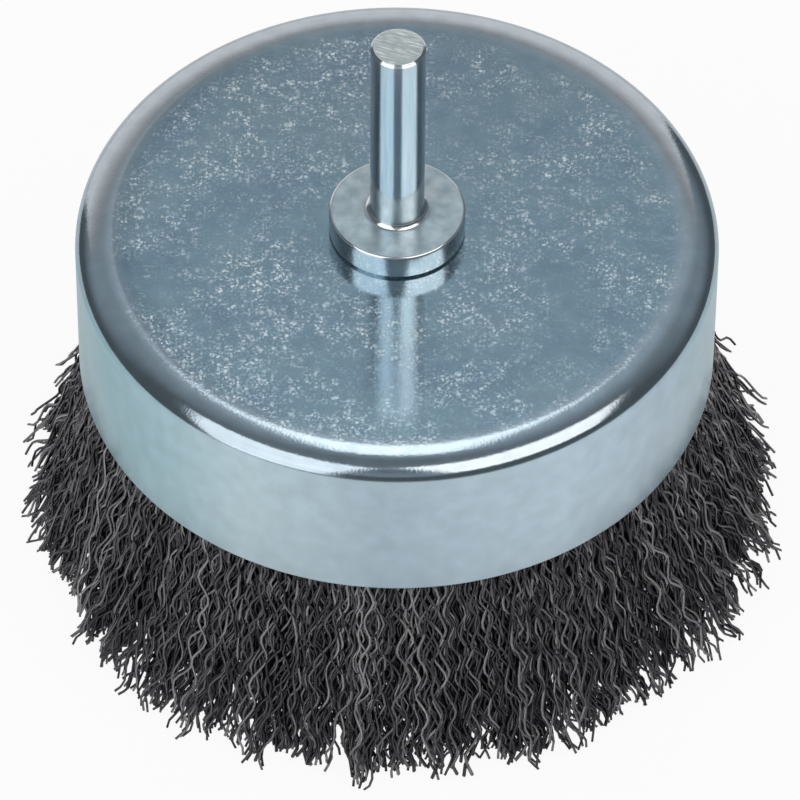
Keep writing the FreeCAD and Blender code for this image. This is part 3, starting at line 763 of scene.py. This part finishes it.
def plain_steel():
    """Bare rolled steel strip, bent to a ring and left as the rolls made it: a dull, warm grey."""
    material, shader = new_material("plain_steel")
    place = add(material, "ShaderNodeTexCoord").outputs["Object"]
    clouds = add(material, "ShaderNodeTexNoise", {"Vector": place, "Scale": per_metre(3)})
    tint = add(material, "ShaderNodeValToRGB", [clouds])
    set_stops(tint, [(0.3, "#6d6b68"), (0.7, "#8b8a88")])
    join(shader, {"Base Color": tint, "Metallic": 1.0, "Roughness": 0.4})
    return material


def paint(piece, material):
    """Gives a piece its one material."""
    piece.data.materials.clear()
    piece.data.materials.append(material)


# Studio and camera

CAMERA_PLACE = (0.0, -578.5, 674.5)
CAMERA_AIM = (0.453, 0.0, 15.89)
CAMERA_ROLL = 0.00723
CAMERA_LENS = 349.5
CAMERA_SENSOR = 36
TABLE_RADIUS = 900.0

# The backdrop's middle and size, in metres.
CARD_PLACE = (-0.18, 0.9, 0.47)
CARD_SCALE = (1.25, 0.94, 1)


def make_camera():
    """The camera at the photograph's angle: 47 degrees up, with a long lens."""
    data = bpy.data.cameras.new("camera")
    camera = bpy.data.objects.new("camera", data)
    bpy.context.scene.collection.objects.link(camera)
    place = Vector(CAMERA_PLACE) * MM
    ahead = Vector(CAMERA_AIM) * MM - place
    roll = Quaternion((0, 0, 1), CAMERA_ROLL)
    camera.location = place
    camera.rotation_mode = "QUATERNION"
    camera.rotation_quaternion = ahead.to_track_quat("-Z", "Y") @ roll
    data.sensor_width = CAMERA_SENSOR
    data.lens = CAMERA_LENS
    data.clip_start = 0.05
    data.clip_end = 20
    bpy.context.scene.camera = camera


def softbox(name, place, size, radiance, tint="#ffffff", roll=0.0):
    """A flat lamp that faces the brush; its power gives the wanted brightness of its face."""
    data = bpy.data.lights.new(name, "AREA")
    data.shape = "RECTANGLE"
    data.size, data.size_y = size
    data.energy = radiance * math.pi * size[0] * size[1]
    data.color = colour(tint)[:3]
    lamp = bpy.data.objects.new(name, data)
    bpy.context.scene.collection.objects.link(lamp)
    towards_brush = (-Vector(place)).to_track_quat("-Z", "Y")
    lamp.location = place
    lamp.rotation_mode = "QUATERNION"
    lamp.rotation_quaternion = towards_brush @ Quaternion((0, 0, 1), roll)
    return lamp


def make_table():
    """The pale round table that the brush stands on: white to the camera, with a soft shadow left."""
    bpy.ops.object.select_all(action="DESELECT")
    bpy.ops.mesh.primitive_circle_add(vertices=96, radius=TABLE_RADIUS * MM, fill_type="NGON")
    table = bpy.context.object
    table.name = "table"
    material, shader = new_material("white_table")
    join(shader, {"Base Color": colour("#f4f4f4"), "Roughness": 0.9})
    glow = add(material, "ShaderNodeEmission", {"Strength": 1.0})
    to_camera = add(material, "ShaderNodeLightPath").outputs["Is Camera Ray"]
    share = add(material, "ShaderNodeMapRange", [to_camera, 0.0, 1.0, 0.35, 0.93])
    blend = add(material, "ShaderNodeMixShader", [share, shader, glow])
    join(material.node_tree.nodes["Material Output"], [blend])
    paint(table, material)


def make_backdrop():
    """A white card behind the brush that fades towards its top, mirrored by the back of the shoulder.
    The camera doesn't see it, so it hides nothing in a view from behind."""
    bpy.ops.object.select_all(action="DESELECT")
    bpy.ops.mesh.primitive_plane_add(size=1, location=CARD_PLACE, rotation=(math.pi / 2, 0, 0))
    card = bpy.context.object
    card.name = "backdrop"
    card.scale = CARD_SCALE
    card.visible_camera = False
    material, shader = new_material("white_card")
    material.node_tree.nodes.remove(shader)
    place = add(material, "ShaderNodeTexCoord").outputs["Object"]
    height = add(material, "ShaderNodeSeparateXYZ", [place]).outputs["Y"]
    strength = add(material, "ShaderNodeMapRange", [height, -0.02, 0.5, 1.0, 0.36])
    glow = add(material, "ShaderNodeEmission", {"Color": colour("#fff7f5"), "Strength": strength})
    join(material.node_tree.nodes["Material Output"], [glow])
    paint(card, material)


def make_world():
    """The room that the metal mirrors: mid grey high up behind the brush and dimmer to both sides, with
    a little light ahead and overhead, dark elsewhere, and white to the camera."""
    world = bpy.data.worlds.new("studio")
    world.use_nodes = True
    bpy.context.scene.world = world
    direction = add(world, "ShaderNodeTexCoord").outputs["Generated"]
    parts = add(world, "ShaderNodeSeparateXYZ", [direction]).outputs
    high = add(world, "ShaderNodeMapRange", [parts["Z"], 0.3, 0.6])
    behind = add(world, "ShaderNodeMapRange", [parts["Y"], 0.1, 0.5])
    left = add(world, "ShaderNodeMapRange", [parts["X"], -0.26, -0.08, 0.65, 1.0])
    right = add(world, "ShaderNodeMapRange", [parts["X"], 0.2, 0.4, 1.0, 0.55])
    lit = add(world, "ShaderNodeMath", [high, behind], operation="MULTIPLY")
    between = add(world, "ShaderNodeMath", [left, right], operation="MULTIPLY")
    lit = add(world, "ShaderNodeMath", [lit, between], operation="MULTIPLY")
    lit = add(world, "ShaderNodeMapRange", [lit, 0.0, 1.0, 0.14, 0.56])
    ahead = add(world, "ShaderNodeMapRange", [parts["Y"], -0.45, -0.7, 0.0, 0.26])
    raised = add(world, "ShaderNodeMapRange", [parts["Z"], 0.45, 0.65])
    ahead = add(world, "ShaderNodeMath", [ahead, raised], operation="MULTIPLY")
    overhead = add(world, "ShaderNodeMapRange", [parts["Z"], 0.8, 0.95, 0.0, 0.13])
    extra = add(world, "ShaderNodeMath", [ahead, overhead], operation="ADD")
    strength = add(world, "ShaderNodeMath", [lit, extra], operation="ADD")
    base = world.node_tree.nodes["Background"]
    join(base, {"Color": colour("#e9f6ff"), "Strength": strength})
    white = add(world, "ShaderNodeBackground", {"Color": (1, 1, 1, 1), "Strength": 1.0})
    to_camera = add(world, "ShaderNodeLightPath").outputs["Is Camera Ray"]
    blend = add(world, "ShaderNodeMixShader", [to_camera, base, white])
    join(world.node_tree.nodes["World Output"], [blend])


def on_sphere(azimuth, elevation, distance):
    """A place seen from the brush at an azimuth from the front and an elevation, in metres."""
    a = math.radians(azimuth)
    e = math.radians(elevation)
    return (
        distance * math.sin(a) * math.cos(e),
        -distance * math.cos(a) * math.cos(e),
        distance * math.sin(e),
    )


def light_studio():
    """One softbox high behind the brush and one at each side of the camera, with a dark gap between."""
    back = on_sphere(azimuth=180, elevation=64.5, distance=1.2)
    left = on_sphere(azimuth=-44, elevation=38, distance=1.1)
    right = on_sphere(azimuth=52, elevation=55, distance=1.1)
    softbox("high_back", back, size=(0.23, 0.44), radiance=1.5)
    softbox("front_left", left, size=(0.8, 1.4), radiance=1.45, roll=0.2)
    softbox("front_right", right, size=(0.84, 0.74), radiance=1.9, tint="#fff6f0", roll=-0.35)


# The brush put together

bpy.context.scene.view_settings.view_transform = "Standard"

make_camera()
make_world()
make_table()
make_backdrop()
light_studio()

sheet_metal = zinc_plated_sheet()
bar_metal = turned_steel()
wire_metal = crimped_steel_wire()
ring_metal = plain_steel()

for piece, node, slot, material in (
    (make_cup(), "cup", "zinc_plated_sheet", sheet_metal),
    (make_inner_cup(), "inner_cup", "zinc_plated_sheet", sheet_metal),
    (make_shank(), "shank", "turned_steel", bar_metal),
):
    paint(piece, material)
    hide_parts(node)
    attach(piece, "root")

paint(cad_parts["retaining_ring"], ring_metal)

rng = np.random.default_rng(WIRE_SEED)
hank_angle = math.tau / HANK_COUNT
pushes = rng.normal(0, HANK_PUSH, HANK_COUNT)
for i in range(HANK_COUNT):
    first, last = (i - 0.5) * hank_angle, (i + 0.5) * hank_angle
    folded = folded_wires(rng, first, last, FOLDED_PER_HANK)
    face = face_strands(rng, first, last, FACE_PER_HANK, pushes[i])
    # The folded wires deep inside get darker tones than the face strands: painted shade.
    groups = [(folded, INNER_WIRE_DIAMETER, FOLDED_RARITY), (face, WIRE_DIAMETER, FACE_RARITY)]
    hank = wire_mesh(f"crimped_hank_{i + 1:02d}", groups, rng)
    paint(hank, wire_metal)
    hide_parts(f"wire_hank_{i + 1:02d}")
    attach(hank, "root")

outermost = outer_strands(rng, OUTER_STRANDS, pushes)
strands = wire_mesh("crimped_outer_wires", [(outermost, WIRE_DIAMETER, OUTER_RARITY)], rng)
paint(strands, wire_metal)
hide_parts("outer_wires")
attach(strands, "root")
